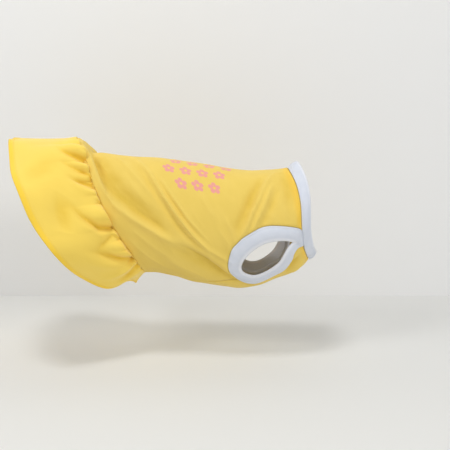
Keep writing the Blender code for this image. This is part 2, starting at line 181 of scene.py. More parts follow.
# Folds of the bodice, alike on both sides. Columns: name; spread and height in mm, height below nought for a dent;
# sharpness, 2 for a round fold and less for a sharp one; crest, its places along and around.
FOLDS = (
    ("roll on the spine", 5.0, 1.2, 2.0, ((0.024, -0.30), (0.018, -0.10), (0.018, 0.10), (0.024, 0.30))),
    ("dip on the spine", 5.0, -1.4, 2.0, ((0.074, -0.24), (0.070, -0.08), (0.070, 0.08), (0.074, 0.24))),
    ("seam roll", 5.4, 2.8, 2.0, ((0.038, 0.14), (0.044, 0.20), (0.048, 0.29), (0.058, 0.36), (0.084, 0.42))),
    ("behind the roll", 4.6, -2.4, 1.7, ((0.084, 0.08), (0.092, 0.18), (0.096, 0.288), (0.112, 0.350), (0.158, 0.415))),
    ("beyond the roll", 12.0, -5.0, 1.9, ((0.110, 0.08), (0.122, 0.22), (0.145, 0.335), (0.185, 0.400), (0.245, 0.455),
                                          (0.310, 0.500))),
    ("haunch fold", 5.4, 4.2, 1.4, ((0.074, 0.410), (0.096, 0.440), (0.138, 0.478), (0.192, 0.512), (0.258, 0.548),
                                    (0.335, 0.588), (0.410, 0.630))),
    ("above the haunch fold", 5.0, -2.0, 1.6, ((0.150, 0.415), (0.200, 0.455), (0.250, 0.490), (0.320, 0.535))),
    ("under the haunch fold", 8.0, -3.6, 1.6, ((0.280, 0.595), (0.385, 0.640), (0.495, 0.720), (0.590, 0.800))),
    ("crease under it", 3.2, -2.6, 1.3, ((0.28, 0.568), (0.375, 0.600), (0.459, 0.648), (0.532, 0.741), (0.588, 0.80))),
    ("over the crease", 6.0, 1.8, 1.8, ((0.32, 0.545), (0.400, 0.580), (0.480, 0.620), (0.555, 0.705), (0.60, 0.76))),
    ("back fold", 2.8, 4.4, 1.2, ((0.280, 0.070), (0.332, 0.205), (0.362, 0.345), (0.398, 0.450), (0.438, 0.525),
                                 (0.492, 0.588), (0.600, 0.655))),
    ("beside the back fold", 4.2, -2.0, 1.5, ((0.262, 0.120), (0.306, 0.210), (0.336, 0.365), (0.376, 0.485),
                                             (0.440, 0.575), (0.540, 0.652))),
    ("back fold's twin", 2.6, 2.2, 1.3, ((0.360, 0.190), (0.405, 0.340), (0.446, 0.450), (0.520, 0.560))),
    ("between the back folds", 2.6, -1.6, 1.6, ((0.355, 0.220), (0.385, 0.345), (0.424, 0.452), (0.480, 0.540))),
    ("small back fold", 3.6, 1.3, 1.5, ((0.195, 0.060), (0.245, 0.200), (0.290, 0.300), (0.335, 0.385))),
    ("beside the small fold", 3.6, -0.6, 1.6, ((0.200, 0.120), (0.235, 0.220), (0.275, 0.310), (0.315, 0.390))),
    ("shoulder fold", 2.2, 4.8, 1.2, ((0.925, 0.100), (0.857, 0.238), (0.820, 0.320), (0.780, 0.385),
                                     (0.736, 0.455), (0.680, 0.525))),
    ("behind the shoulder fold", 5.0, -4.2, 1.5, ((0.865, 0.150), (0.820, 0.245), (0.776, 0.335), (0.730, 0.410),
                                                 (0.658, 0.500))),
    ("shoulder fold's twin", 2.0, 3.0, 1.3, ((0.905, 0.210), (0.860, 0.310), (0.818, 0.390), (0.772, 0.460),
                                            (0.725, 0.515))),
    ("ahead of the shoulder folds", 3.0, -1.8, 1.6, ((0.925, 0.240), (0.885, 0.330), (0.842, 0.410), (0.790, 0.480))),
    ("beside the neck", 5.0, -2.8, 1.6, ((0.955, 0.080), (0.958, 0.250), (0.950, 0.420))),
    ("neck edge", 3.6, 1.8, 1.8, ((0.988, 0.100), (0.992, 0.253), (0.985, 0.470))),
    ("front wrinkle", 3.0, 1.4, 1.4, ((0.851, 0.385), (0.872, 0.435), (0.880, 0.480))),
    ("front wrinkle's twin", 3.0, 1.1, 1.4, ((0.900, 0.330), (0.918, 0.400), (0.925, 0.470))),
    ("armhole wrinkle", 3.0, 1.5, 1.4, ((0.630, 0.400), (0.650, 0.480), (0.650, 0.560))),
    ("armhole wrinkle's twin", 3.0, 1.2, 1.4, ((0.585, 0.470), (0.608, 0.540), (0.612, 0.620))),
    ("belly fold", 8.0, 1.5, 1.8, ((0.360, 0.800), (0.480, 0.830), (0.600, 0.870))),
    ("low side wrinkle", 4.6, 1.3, 1.5, ((0.210, 0.690), (0.330, 0.745), (0.430, 0.800))),
    ("flank wrinkle", 4.6, 1.4, 1.5, ((0.110, 0.550), (0.190, 0.640), (0.290, 0.700))),
    ("waist wrinkle", 4.0, 1.1, 1.5, ((0.060, 0.620), (0.120, 0.720), (0.190, 0.790))),
    ("mid back ripple", 5.0, 0.9, 1.8, ((0.520, 0.180), (0.560, 0.320), (0.590, 0.450))),
    ("fore back ripple", 5.0, 0.9, 1.8, ((0.660, 0.120), (0.680, 0.240), (0.670, 0.350))),
    ("chest fold", 4.0, 3.4, 1.3, ((0.975, 0.800), (0.930, 0.850), (0.880, 0.900))),
    ("chest crease", 4.4, -4.6, 1.3, ((0.955, 0.740), (0.900, 0.790), (0.860, 0.860))),
)

# Creases of the skirt, alike on both sides. Columns: name; spread and depth in mm, depth below nought for a ridge;
# sharpness; line, its places around and down.
CREASES = (
    ("top pleat", 2.2, 2.6, 1.2, ((0.190, 0.00), (0.150, 0.06), (0.095, 0.110))),
    ("over the tuck", 9.0, -4.2, 2.0, ((0.200, 0.04), (0.175, 0.150), (0.140, 0.280))),
    ("tuck", 4.4, 9.5, 1.2, ((0.255, 0.00), (0.235, 0.103), (0.195, 0.250), (0.150, 0.360))),
    ("under the tuck", 4.2, -2.4, 1.6, ((0.285, 0.02), (0.262, 0.130), (0.220, 0.300))),
    ("first pleat", 3.2, 6.4, 1.2, ((0.357, 0.00), (0.323, 0.050), (0.292, 0.160), (0.245, 0.360))),
    ("first ridge", 4.2, -2.8, 1.6, ((0.330, 0.01), (0.290, 0.100), (0.240, 0.260))),
    ("second pleat", 3.0, 6.0, 1.2, ((0.390, 0.00), (0.375, 0.080), (0.350, 0.220), (0.315, 0.360))),
    ("second ridge", 4.2, -2.8, 1.6, ((0.420, 0.02), (0.395, 0.150), (0.345, 0.360))),
    ("knot", 2.2, 3.2, 1.2, ((0.463, 0.00), (0.455, 0.060), (0.440, 0.110))),
    ("over the smile", 9.0, -4.2, 2.0, ((0.525, 0.03), (0.505, 0.190), (0.455, 0.300))),
    ("smile", 4.6, 7.0, 1.1, ((0.575, 0.00), (0.560, 0.227), (0.503, 0.360), (0.453, 0.420), (0.400, 0.430))),
    ("under the smile", 4.6, -3.0, 1.5, ((0.600, 0.03), (0.592, 0.240), (0.545, 0.430), (0.480, 0.530))),
    ("valley", 3.2, 4.2, 1.2, ((0.633, 0.00), (0.606, 0.110), (0.640, 0.330), (0.667, 0.500))),
    ("over the lower fold", 8.0, -3.6, 2.0, ((0.690, 0.04), (0.668, 0.180), (0.665, 0.330))),
    ("lower fold", 4.2, 5.6, 1.2, ((0.753, 0.00), (0.712, 0.230), (0.665, 0.450), (0.635, 0.650))),
    ("under the lower fold", 5.0, -2.4, 1.6, ((0.758, 0.12), (0.730, 0.400), (0.690, 0.700))),
    ("dark spot", 2.8, 4.0, 1.3, ((0.748, 0.05), (0.772, 0.130), (0.784, 0.200))),
    ("edge ridge", 3.2, -4.4, 1.3, ((0.768, 0.02), (0.786, 0.290), (0.790, 0.600), (0.782, 0.90))),
    ("beyond the edge", 5.0, 4.6, 1.4, ((0.808, 0.02), (0.826, 0.300), (0.834, 0.650), (0.832, 0.90))),
    ("left soft fold", 8.0, 2.9, 2.0, ((0.405, 0.467), (0.485, 0.600), (0.562, 0.680))),
    ("hem soft fold", 9.0, -2.4, 2.0, ((0.350, 0.780), (0.460, 0.840), (0.570, 0.860))),
    ("upper soft fold", 8.0, 2.4, 2.0, ((0.265, 0.330), (0.290, 0.600), (0.330, 0.900))),
    ("crown soft fold", 9.0, 1.2, 2.0, ((0.070, 0.250), (0.100, 0.500), (0.120, 0.800))),
)

# Places round the skirt seam where the gathers are pulled in, from the spine to the belly. Round lobes stand between.
PULLS = np.array(
    (0.0, 0.060, 0.135, 0.255, 0.312, 0.357, 0.390, 0.425, 0.463, 0.575, 0.633, 0.680, 0.753, 0.800, 0.850, 0.900, 0.950, 1.0)
)

# Small puckers between them
PUCKERS = 44
PUCKER_DEPTH = (0.0005, 0.0015)
PUCKER_SPREAD = (0.0009, 0.0018)
PUCKER_REACH = (0.035, 0.120)
PUCKER_SLANT = 0.014

# Small wrinkles of the bodice
WRINKLES = 40
WRINKLE_LENGTH = (0.016, 0.042)
WRINKLE_SPREAD = (0.0018, 0.0034)
WRINKLE_HEIGHT = (0.0003, 0.0009)

PATTERN_RADIUS = (CHEST_DEPTH + CHEST_WIDTH) / 4
HALF_TURN = math.pi * PATTERN_RADIUS
ORIGIN_ALONG = SEAT_FROM_SEAM / BACK_LENGTH
BODICE_SIZE = np.array((BACK_LENGTH, HALF_TURN))
SKIRT_SIZE = np.array((HALF_TURN, SKIRT_LENGTH))

# Colours, linear
JERSEY = (0.860, 0.630, 0.140)
# Painted shade: the bodice jersey's colour in the hollows of its folds
JERSEY_SHADED = (0.700, 0.470, 0.045)
# Painted light: the skirt's jersey, painted lighter than the bodice's for the stronger light that falls on the skirt
LIT_SKIRT_JERSEY = (0.970, 0.700, 0.122)
# Painted shade: the skirt jersey's colour in the hollows of its creases
SKIRT_SHADED = (0.780, 0.470, 0.010)
# Painted glow along the folded hem, for light shining through the cloth there
HEM_PAINTED_GLOW = (1.000, 0.660, 0.045)
# Painted shade of the fold that runs beside the neck binding
NECK_FOLD_SHADE = (0.930, 0.590, 0.060)
SHEEN = (1.000, 0.940, 0.720)
RIB = (0.860, 0.875, 0.930)
# Painted shade on the rib bindings' body; their rolled rims keep the lighter rib colour as a painted highlight
RIB_SHADED = (0.715, 0.755, 0.845)
PRINT = (0.860, 0.330, 0.340)
FLOOR = (0.780, 0.780, 0.760)
WALL = (0.860, 0.860, 0.855)

# Jersey: fold heights in mm where the painted shade of the hollows starts and where it is full, and the weight of its
# sheen
BODICE_SHADE_HEIGHTS = (2.0, -5.5)
SKIRT_SHADE_HEIGHTS = (-0.3, -5.0)
BODICE_SHEEN = 0.22
SKIRT_SHEEN = 0.45


def read_column(table, columns, name, at):
    """A smooth curve through one column of a table, read at the given places of its first column."""
    places = np.array([row[0] for row in table])
    values = np.array([row[columns.index(name)] for row in table])
    slopes = np.gradient(values, places)
    at = np.clip(at, places[0], places[-1])
    row = np.clip(np.searchsorted(places, at, side="right") - 1, 0, len(places) - 2)
    step = places[row + 1] - places[row]
    t = (at - places[row]) / step
    low = values[row] * (1 + 2 * t) * (1 - t) ** 2 + slopes[row] * step * t * (1 - t) ** 2
    high = values[row + 1] * t * t * (3 - 2 * t) - slopes[row + 1] * step * t * t * (1 - t)
    return low + high


def unit(vectors):
    return vectors / np.linalg.norm(vectors, axis=-1, keepdims=True)


def smooth_step(share):
    share = np.clip(share, 0.0, 1.0)
    return share * share * (3 - 2 * share)


def wrap(around):
    return (around + 1.0) % 2.0 - 1.0


def ridge_height(places, crest, spread, sharpness, open_start=False):
    """Height, 0 to 1, of a ridge along a crest line that dies away at its ends, or only at its far end."""
    nearest = np.full(len(places), np.inf)
    travelled = np.zeros(len(places))
    done = 0.0
    for start, end in zip(crest[:-1], crest[1:]):
        run = end - start
        length = np.linalg.norm(run)
        share = np.clip((places - start) @ run / length ** 2, 0.0, 1.0)
        distance = np.linalg.norm(places - start - share[:, None] * run, axis=1)
        closer = distance < nearest
        nearest = np.where(closer, distance, nearest)
        travelled = np.where(closer, done + share * length, travelled)
        done += length
    progress = travelled / done
    if open_start:
        ends = 1 - smooth_step((progress - 0.30) / 0.70)
    else:
        ends = np.sin(math.pi * np.clip(progress, 0.02, 0.98)) ** 0.6
    rounded = np.sqrt((nearest / spread) ** 2 + 0.02) - math.sqrt(0.02)
    return np.exp(-(rounded ** sharpness)) * ends


def bodice_form(along, around):
    """Points of the plain bodice without folds. Past the neck seam it goes on as the neck binding's slope."""
    inside = np.minimum(along, 1.0)
    past = np.maximum(along - 1.0, 0.0) * BACK_LENGTH
    rise, drop, lean, width, keel, swing = (
        read_column(SECTIONS, SECTION_COLUMNS, name, inside) for name in SECTION_COLUMNS[1:]
    )
    angle = around * math.pi
    low = (1 - np.cos(angle)) / 2
    side = np.sin(angle)
    half_width = width * CHEST_WIDTH / 2 - BINDING_NARROWS * past
    ahead = CHEST_DEPTH * (lean * low + 2 * swing * np.cos(angle) * side ** 2)
    x = (inside - ORIGIN_ALONG) * BACK_LENGTH + ahead + past * (BINDING_AHEAD[0] * (1 - low) + BINDING_AHEAD[1] * low)
    y = half_width * side * np.abs(side) ** (keel * low)
    z = CHEST_DEPTH * (rise * (1 - low) + drop * low) + past * (BINDING_UP[0] * (1 - low) + BINDING_UP[1] * low)
    return np.stack((x, y, z), axis=-1)


def bodice_normal(along, around):
    """Outward directions. At the neck seam itself they are the bodice's, not the binding's."""
    small = 1e-4
    beyond = np.where(along > 1.0, along + small, np.minimum(along + small, 1.0))
    ahead = bodice_form(beyond, around) - bodice_form(along - small, around)
    left = bodice_form(along, around + small) - bodice_form(along, around - small)
    return unit(np.cross(ahead, left))


def bodice_fold(along, around):
    """Height of the folds, which die away at the skirt seam."""
    places = np.stack((along, np.abs(wrap(around))), axis=-1) * BODICE_SIZE
    total = np.zeros(len(places))
    for _, spread, height, sharpness, crest in FOLDS:
        total += height * ridge_height(places, np.array(crest) * BODICE_SIZE, spread / 1000, sharpness)
    return total / 1000 * smooth_step(places[:, 0] / SEAM_HOLD)


def wrinkle_lines():
    """Lines, spreads and heights of the small wrinkles, which follow the pull of the cloth, the same each run."""
    rng = random.Random(5)
    lines = []
    for i in range(WRINKLES):
        along = rng.uniform(0.08, 0.96)
        around = rng.choice((-1, 1)) * rng.uniform(0.05, 0.62)
        lean = np.interp(along, (0.0, 0.60, 0.72, 1.0), (0.45, 0.40, -0.25, -0.45))
        length = rng.uniform(*WRINKLE_LENGTH)
        way = np.array((lean, math.copysign(1.0, around))) / math.hypot(lean, 1.0)
        middle = np.array((along, around)) * BODICE_SIZE
        bend = np.array((rng.uniform(-0.002, 0.002), 0.0))
        line = np.array((middle - way * length / 2, middle + bend, middle + way * length / 2))
        lines.append((line, rng.uniform(*WRINKLE_SPREAD), rng.uniform(*WRINKLE_HEIGHT)))
    return lines


def bodice_wrinkle(along, around):
    """Height of the small wrinkles."""
    places = np.stack((along, wrap(around)), axis=-1) * BODICE_SIZE
    total = np.zeros(len(places))
    for line, spread, height in wrinkle_lines():
        near = np.abs(places - line[1]).max(axis=1) < WRINKLE_LENGTH[1]
        total[near] += height * ridge_height(places[near], line, spread, 1.5)
    return total


def bodice_ripple(along, around):
    """Very low, wide unevenness of worn jersey, different on the two sides."""
    u = along * BACK_LENGTH / 0.030
    v = around * HALF_TURN / 0.030
    third = np.sin(6.1 * u + 4.7 * v + 1.9 * np.sin(1.6 * v)) * np.sin(5.3 * v - 3.1 * u + 0.9)
    first = np.sin(1.7 * u + 1.1 * np.sin(1.3 * v + 0.6)) * np.sin(1.2 * v + 0.8 * np.sin(0.9 * u + 2.0))
    second = np.sin(3.9 * u - 2.3 * v + 1.5 * np.sin(0.7 * v)) * np.sin(1.1 * u + 2.9 * v + 0.4)
    return (0.42 * first + 0.22 * second + 0.07 * third) / 1000 * smooth_step(along * BACK_LENGTH / SEAM_HOLD)


def seam_shift(around, kept):
    """The skirt seam runs forward and back a little round the body, less on the left side than on the right. kept is
    how much of that each point takes."""
    wrapped = wrap(around)
    ahead = read_column(SEAM_SHIFTS, ("around", "ahead"), "ahead", np.abs(wrapped)) / 1000
    side = LEFT_SHIFT + (1 - LEFT_SHIFT) * smooth_step(0.5 - wrapped / 0.12)
    return (ahead * side * kept)[..., None] * np.array((1.0, 0.0, 0.0))


def bodice_point(along, around, height):
    """A point at a height above the inside of the cloth, folds included."""
    lift = bodice_fold(along, around) + bodice_wrinkle(along, around) + bodice_ripple(along, around) + height
    kept = 1 - smooth_step(along * BACK_LENGTH / 0.024)
    return bodice_form(along, around) + bodice_normal(along, around) * lift[..., None] + seam_shift(around, kept)


def skirt_form(around, down):
    """Points of the plain skirt, from the seam at 0 down to the hem at 1."""
    wrapped = wrap(around)
    seam = bodice_form(np.zeros_like(around), around)
    seam[..., 0] -= SEAM_EDGE
    back, out, up = (read_column(HEM, HEM_COLUMNS, name, np.abs(wrapped)) for name in HEM_COLUMNS[1:])
    reach = np.stack((-back, out * np.sign(wrapped), up), axis=-1) * SKIRT_LENGTH
    return seam + reach * down[..., None]


def skirt_normal(around, down):
    """Outward directions, which turn from the bodice's own at the seam to the skirt's."""
    small = 1e-4
    lower = skirt_form(around, down + small) - skirt_form(around, down - small)
    left = skirt_form(around + small, down) - skirt_form(around - small, down)
    turned = smooth_step(down * SKIRT_LENGTH / SEAM_HOLD)[..., None]
    at_seam = bodice_normal(np.zeros_like(around), around)
    return unit(at_seam * (1 - turned) + unit(np.cross(left, lower)) * turned)


def pucker_lines():
    """Lines, spreads and depths of the small puckers, uneven but the same each run."""
    rng = random.Random(11)
    lines = []
    for i in range(PUCKERS):
        start = (i + rng.uniform(0.15, 0.85)) / PUCKERS * 2 - 1
        reach = rng.uniform(*PUCKER_REACH)
        slant = rng.uniform(-PUCKER_SLANT, PUCKER_SLANT) - 0.10 * reach * math.copysign(1, start)
        line = np.array(((start, -0.02), (start + slant * 0.4, reach * 0.5), (start + slant, reach)))
        lines.append((line * SKIRT_SIZE, rng.uniform(*PUCKER_SPREAD), rng.uniform(*PUCKER_DEPTH)))
    return lines


def skirt_dent(around, down):
    """How far the creases and puckers push the skirt in."""
    wrapped = wrap(around)
    places = np.stack((np.abs(wrapped), down), axis=-1) * SKIRT_SIZE
    total = np.zeros(len(places))
    for _, spread, depth, sharpness, line in CREASES:
        crest = np.array(line) * SKIRT_SIZE
        total += depth / 1000 * ridge_height(places, crest, spread / 1000, sharpness, line[0][1] < 0.06)
    own = np.stack((wrapped, down), axis=-1) * SKIRT_SIZE
    for line, spread, depth in pucker_lines():
        total += depth * ridge_height(own, line, spread, 1.4, open_start=True)
    return total * smooth_step(down * SKIRT_LENGTH / PUCKER_HOLD)


def gather_lobes(around):
    """Swell of the lobes between the places where the gathers are pulled in, 0 to 1, and how wide each lobe counts."""
    wrapped = wrap(around)
    turn = np.abs(wrapped)
    place = np.interp(turn, PULLS, np.arange(len(PULLS)))
    lobe = np.minimum(place.astype(int), len(PULLS) - 2)
    width = np.diff(PULLS)[lobe] * HALF_TURN
    width = np.minimum(width, np.where(wrapped > PULLS[1], LEFT_LOBE_WIDTH, np.where(turn < PULLS[1], TOP_LOBE_WIDTH, 1.0)))
    return np.abs(np.sin(math.pi * place)) ** 0.7, width


def skirt_lift(around, down):
    """How far the gathers, waves, puff and creases push the skirt out of its plain form."""
    turn = np.abs(wrap(around))
    reach = [read_column(HEM, HEM_COLUMNS, name, turn) for name in HEM_COLUMNS[1:]]
    fullness = smooth_step((1 - turn) * 4) * np.minimum(np.linalg.norm(reach, axis=0) / 0.75, 1.0)
    swell, width = gather_lobes(around)
    share = down * SKIRT_LENGTH / (LOBE_REACH * width)
    lobes = LOBE_HEIGHT * width * swell * share * np.exp(1 - share)
    waves = HEM_WAVE_DEPTH * down ** 2 * np.sin(HEM_WAVES * math.pi * turn)
    puff = SKIRT_PUFF * np.sin(math.pi * np.clip(down, 0.0, 1.0)) * smooth_step(turn * 4)
    crown = CROWN_PUFF * np.exp(-(((down - 0.30) / 0.30) ** 2)) * (1 - smooth_step(turn / 0.30)) * smooth_step(down / 0.1)
    return fullness * (lobes + waves + puff + crown - skirt_dent(around, down))


def hem_rise(down):
    """The folded hem stands a little proud, with a groove where it is stitched."""
    from_hem = (1 - down) * SKIRT_LENGTH
    proud = HEM_FOLD_RISE * smooth_step((HEM_FOLD + 0.0006 - from_hem) / 0.0012)
    groove = 0.0004 * np.exp(-(((from_hem - HEM_FOLD) / 0.0008) ** 2))
    return proud - groove


def skirt_point(around, down, height):
    """A point at a height above the inside of the skirt. Near the seam its lobes hang over towards the bodice, and a
    small flap of the hem hangs down beside the belly on the left."""
    lift = skirt_lift(around, down) + height
    small = 1e-4
    forward = unit(skirt_form(around, down - small) - skirt_form(around, down + small))
    near = down / OVERHANG_REACH * np.exp(1 - down / OVERHANG_REACH)
    swell, width = gather_lobes(around)
    over = OVERHANG * near * (0.25 + 0.75 * swell * np.minimum(width / 0.018, 1.2))
    point = skirt_form(around, down) + skirt_normal(around, down) * (lift + 0.35 * over)[..., None]
    flap = FLAP_DROP * down ** 2 * np.exp(-((wrap(around - 0.955) / 0.060) ** 2))
    shift = seam_shift(around, 1 - smooth_step(down / 0.5)) - flap[..., None] * np.array((0.0, 0.0, 1.0))
    return point + forward * over[..., None] + shift


def closed_curve(points, steps):
    """A smooth closed curve through the points, with the given steps between one point and the next."""
    points = np.array(points)
    tangents = (np.roll(points, -1, axis=0) - np.roll(points, 1, axis=0)) / 2
    curve = []
    for i, start in enumerate(points):
        j = (i + 1) % len(points)
        for t in np.arange(steps) / steps:
            low = start * (1 + 2 * t) * (1 - t) ** 2 + tangents[i] * t * (1 - t) ** 2
            high = points[j] * t * t * (3 - 2 * t) - tangents[j] * t * t * (1 - t)
            curve.append(low + high)
    return np.array(curve)


def armhole_outline():
    """The left armhole's outline on the pattern, as metres along and around."""
    rear = BACK_LENGTH - ARMHOLE_LENGTH
    rows = [(rear + row[0] * ARMHOLE_LENGTH, ARMHOLE_BELOW_SPINE + row[1] * ARMHOLE_HEIGHT) for row in ARMHOLE]
    outline = closed_curve(rows, OUTLINE_STEPS)
    outline[:, 0] = np.minimum(outline[:, 0], BACK_LENGTH - GAP)
    return outline


def inward(outline, reach):
    """Directions into a closed outline, averaged over some neighbours on each side."""
    ahead = np.roll(outline, -1, axis=0) - np.roll(outline, 1, axis=0)
    normals = np.stack((-ahead[:, 1], ahead[:, 0]), axis=-1)
    area = np.sum(outline[:, 0] * np.roll(outline[:, 1], -1) - np.roll(outline[:, 0], -1) * outline[:, 1])
    normals *= np.sign(area)
    total = sum(np.roll(unit(normals), shift, axis=0) for shift in range(-reach, reach + 1))
    return unit(total)


def relaxed(outline, passes):
    """A closed outline with its corners eased by averaging neighbours."""
    for _ in range(passes):
        outline = (np.roll(outline, 1, axis=0) + 2 * outline + np.roll(outline, -1, axis=0)) / 4
    return outline


def edge_distance(places, outline):
    """Distance of each place from a closed outline, and whether it lies inside."""
    starts = outline
    runs = np.roll(outline, -1, axis=0) - outline
    nearest = np.empty(len(places))
    inside = np.empty(len(places), bool)
    for first in range(0, len(places), 2000):
        some = places[first : first + 2000]
        offset = some[:, None, :] - starts[None]
        share = np.clip((offset * runs).sum(2) / (runs * runs).sum(1), 0.0, 1.0)
        nearest[first : first + 2000] = np.linalg.norm(offset - share[..., None] * runs, axis=2).min(1)
        crosses = (starts[:, 1] > some[:, 1:]) != (starts[:, 1] + runs[:, 1] > some[:, 1:])
        with np.errstate(divide="ignore", invalid="ignore"):
            reach = starts[:, 0] + (some[:, 1:] - starts[:, 1]) / runs[:, 1] * runs[:, 0]
        inside[first : first + 2000] = (crosses & (reach > some[:, :1])).sum(1) % 2 == 1
    return nearest, inside


def lattice(outline, facet):
    """Rows of points inside the outline and clear of its edge."""
    lowest = outline.min(axis=0)
    highest = outline.max(axis=0)
    row_height = facet * math.sqrt(3) / 2
    places = []
    for row, second in enumerate(np.arange(lowest[1] + row_height / 2, highest[1], row_height)):
        firsts = np.arange(lowest[0] + facet / 4 + (row % 2) * facet / 2, highest[0], facet)
        places.append(np.stack((firsts, np.full(len(firsts), second)), axis=-1))
    places = np.concatenate(places)
    distance, inside = edge_distance(places, outline)
    return places[inside & (distance > 0.5 * facet)]


def add_numbers(mesh, name, values):
    """A number on each vertex that the materials read."""
    mesh.attributes.new(name, "FLOAT", "POINT").data.foreach_set("value", np.asarray(values, np.float32))


def make_piece(name, points, faces, materials, pattern=None, numbers=None, material_of=None):
    """A smooth mesh with its pattern places as UVs, in metres, and its numbers as attributes."""
    mesh = bpy.data.meshes.new(name)
    mesh.from_pydata(np.asarray(points).tolist(), [], [tuple(int(i) for i in face) for face in faces])
    for material in materials:
        mesh.materials.append(material)
    if material_of is not None:
        mesh.polygons.foreach_set("material_index", np.asarray(material_of, np.int32))
    if pattern is not None:
        layer = mesh.uv_layers.new(name="pattern")
        corners = np.empty(len(mesh.loops), np.int32)
        mesh.loops.foreach_get("vertex_index", corners)
        layer.data.foreach_set("uv", np.asarray(pattern, np.float32)[corners].ravel())
    for key, values in (numbers or {}).items():
        add_numbers(mesh, key, values)
    mesh.shade_smooth()
    piece = bpy.data.objects.new(name, mesh)
    bpy.context.scene.collection.objects.link(piece)
    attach(piece, "root")
    return piece


def make_panel(name, node, outline, facet, materials):
    """A cloth panel cut to an outline on the pattern and wrapped round the bodice form."""
    inner_points = lattice(outline, facet)
    flat = np.concatenate((outline, inner_points))
    edge = list(range(len(outline)))
    flat, _, faces, _, _, _ = delaunay_2d_cdt([Vector(p) for p in flat], [], [edge], 1, 1e-7)
    flat = np.array([tuple(p) for p in flat])
    distance, _ = edge_distance(flat, outline)
    along = flat[:, 0] / BACK_LENGTH
    around = flat[:, 1] / HALF_TURN
    rising = smooth_step(distance / SEAM_DITCH)
    wall = PANEL_WALL * (SEAM_DITCH_SHARE + (1 - SEAM_DITCH_SHARE) * rising)
    outer = bodice_point(along, around, wall)
    inner = bodice_point(along, around, np.zeros(len(flat)))
    count = len(flat)
    used = {(f[i], f[(i + 1) % 3]) for f in faces for i in range(3)}
    border = [(a, b) for a, b in used if (b, a) not in used]
    solid = [tuple(f) for f in faces]
    solid += [tuple(i + count for i in reversed(f)) for f in faces]
    solid += [(b, a, a + count, b + count) for a, b in sorted(border)]
    material_of = [0] * len(faces) + [1] * (len(faces) + len(border))
    # Fold heights, which the jersey reads for its painted shade in the hollows
    fold = bodice_fold(along, around) * 1000
    numbers = {"fold": np.tile(fold, 2), "edge": np.tile(distance, 2)}
    piece = make_piece(
        name, np.concatenate((outer, inner)), solid, materials, np.tile(flat, (2, 1)), numbers, material_of
    )
    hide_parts(node)
    return piece


def resampled(points, pitch):
    """Points along an open line at an even pitch, with its two ends."""
    points = np.array(points)
    steps = np.linalg.norm(np.diff(points, axis=0), axis=1)
    run = np.concatenate(([0.0], np.cumsum(steps)))
    count = max(1, math.ceil(run[-1] / pitch))
    at = np.linspace(0.0, run[-1], count + 1)
    return np.stack([np.interp(at, run, points[:, k]) for k in range(2)], axis=-1)


def make_panels(materials):
    outline = armhole_outline()
    clear = outline - inward(outline, 0) * GAP
    neck_rows = [i for i, (length, _) in enumerate(ARMHOLE) if length == 1.0]
    upper = clear[: neck_rows[0] * OUTLINE_STEPS + 1]
    lower = clear[neck_rows[1] * OUTLINE_STEPS :]
    edge = BACK_LENGTH - GAP
    upper[:, 0] = np.minimum(upper[:, 0], edge)
    lower[:, 0] = np.minimum(lower[:, 0], edge)
    corner = clear[:1]
    start = np.array((0.0, HALF_TURN - BELLY_PANEL_REAR_WIDTH / 2))
    seam = resampled((start, outline[0]), FACET)[:-1]
    half = np.array((0.0, GAP / 2))

    left = np.concatenate((seam - half, corner - half, upper[1:]))
    right = left[::-1] * (1, -1)
    neck = resampled((left[-1], right[0]), FACET)[1:-1]
    rear = resampled((right[-1], left[0]), FACET)[1:-1]
    back = make_panel(
        "back_cloth", "back_panel", np.concatenate((left, neck, right, rear)), FACET, materials
    )

    left = np.concatenate((lower, corner + half, (seam + half)[::-1]))
    right = left[::-1] * (1, -1) + (0, 2 * HALF_TURN)
    rear = resampled((left[-1], right[0]), FACET)[1:-1]
    neck = resampled((right[-1], left[0]), FACET)[1:-1]
    belly = make_panel(
        "belly_cloth", "belly_panel", np.concatenate((left, rear, right, neck)), FACET, materials
    )
    return back, belly


def band_profile():
    """Section of a binding, closed: share across its width, and height above the inside of the cloth. It starts at
    the seam inside, goes over the outer face with its stitched groove to the rolled rim, and back inside."""
    low = (PANEL_WALL - BINDING_WALL) / 2
    high = low + BINDING_WALL
    middle = PANEL_WALL / 2
    top = [(0.0, middle + 0.2 * BINDING_WALL), (0.02, high - 0.0001), (0.05, high + 0.0002)]
    for across in np.linspace(0.09, 0.80, BINDING_ROWS):
        groove = STITCH_GROOVE * math.exp(-(((across - BINDING_STITCH_PLACE) / 0.035) ** 2))
        crown = BINDING_CROWN * math.sin(math.pi * (across - 0.05) / 0.95)
        rim = RIM_GROOVE * math.exp(-(((across - RIM_PLACE) / 0.05) ** 2))
        top.append((across, high + 0.0002 + crown - groove - rim))
    top += [(0.86, high + 0.0003), (0.92, high + 0.0001), (0.965, high - 0.0006), (1.0, middle)]
    under = [(0.975, low + 0.0005), (0.90, low), (0.60, low), (0.30, low), (0.05, low)]
    return top + under + [(0.0, middle - 0.2 * BINDING_WALL)]


def ring_faces(columns, rows):
    """Faces of a closed ring of closed sections."""
    faces = []
    for column in range(columns):
        beyond = (column + 1) % columns
        for row in range(rows):
            up = (row + 1) % rows
            faces.append((column * rows + row, column * rows + up, beyond * rows + up, beyond * rows + row))
    return faces


def make_ring(name, rows, faces_flipped, materials, pattern, numbers=None):
    """A closed ring from its rows of points, each row once round."""
    points = np.stack(rows, axis=1)
    columns, count = points.shape[:2]
    faces = ring_faces(columns, count)
    if faces_flipped:
        faces = [tuple(reversed(face)) for face in faces]
    flat = np.stack(pattern, axis=1).reshape(-1, 2)
    values = {key: np.stack(value, axis=1).ravel() for key, value in (numbers or {}).items()}
    return make_piece(name, points.reshape(-1, 3), faces, materials, flat, values)


